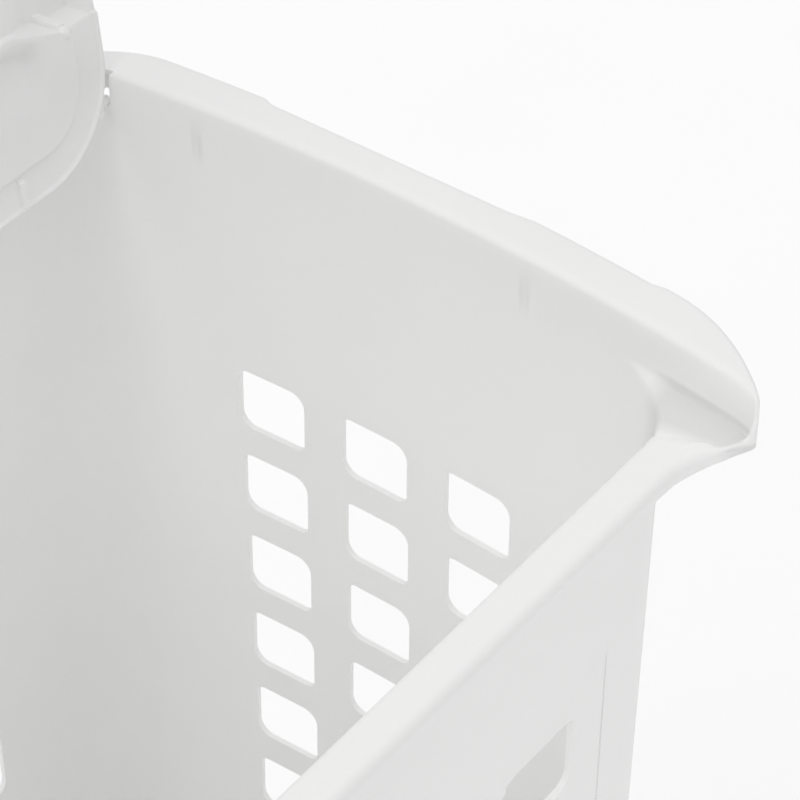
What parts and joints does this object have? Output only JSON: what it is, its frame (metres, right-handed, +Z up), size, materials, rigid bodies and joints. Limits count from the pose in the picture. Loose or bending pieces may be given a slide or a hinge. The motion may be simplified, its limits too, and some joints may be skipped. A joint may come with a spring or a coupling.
{
  "type": "laundry hamper with lid",
  "caption": "Tall tapered plastic laundry hamper with leaf-shaped vents, side hand grips, a rim with blunt front horns and a drop-in lid hinged at the back, shown open",
  "frame": {"origin": "on the underside of the base, on the floor, in the middle of the width and 4 mm behind the middle of the depth", "axes": "+X to the right as seen from the front, +Y to the back where the lid is hinged, +Z up"},
  "size_m": [0.4478, 0.3732, 0.888],
  "materials": {
    "tub_plastic": "white injection-moulded polypropylene, satin with a fine moulded grain",
    "lid_plastic": "white injection-moulded polypropylene, satin with a fine moulded grain"
  },
  "bodies": {
    "hamper": {"tub": "tub_plastic"},
    "lid": {"lid": "lid_plastic"}
  },
  "joints": [
    {"name": "lid_hinge", "type": "hinge", "parent": "hamper", "child": "lid", "pos_m": [0, 0.12, 0.586], "axis": [1, 0, 0], "range_deg": [0, 100]}
  ]
}
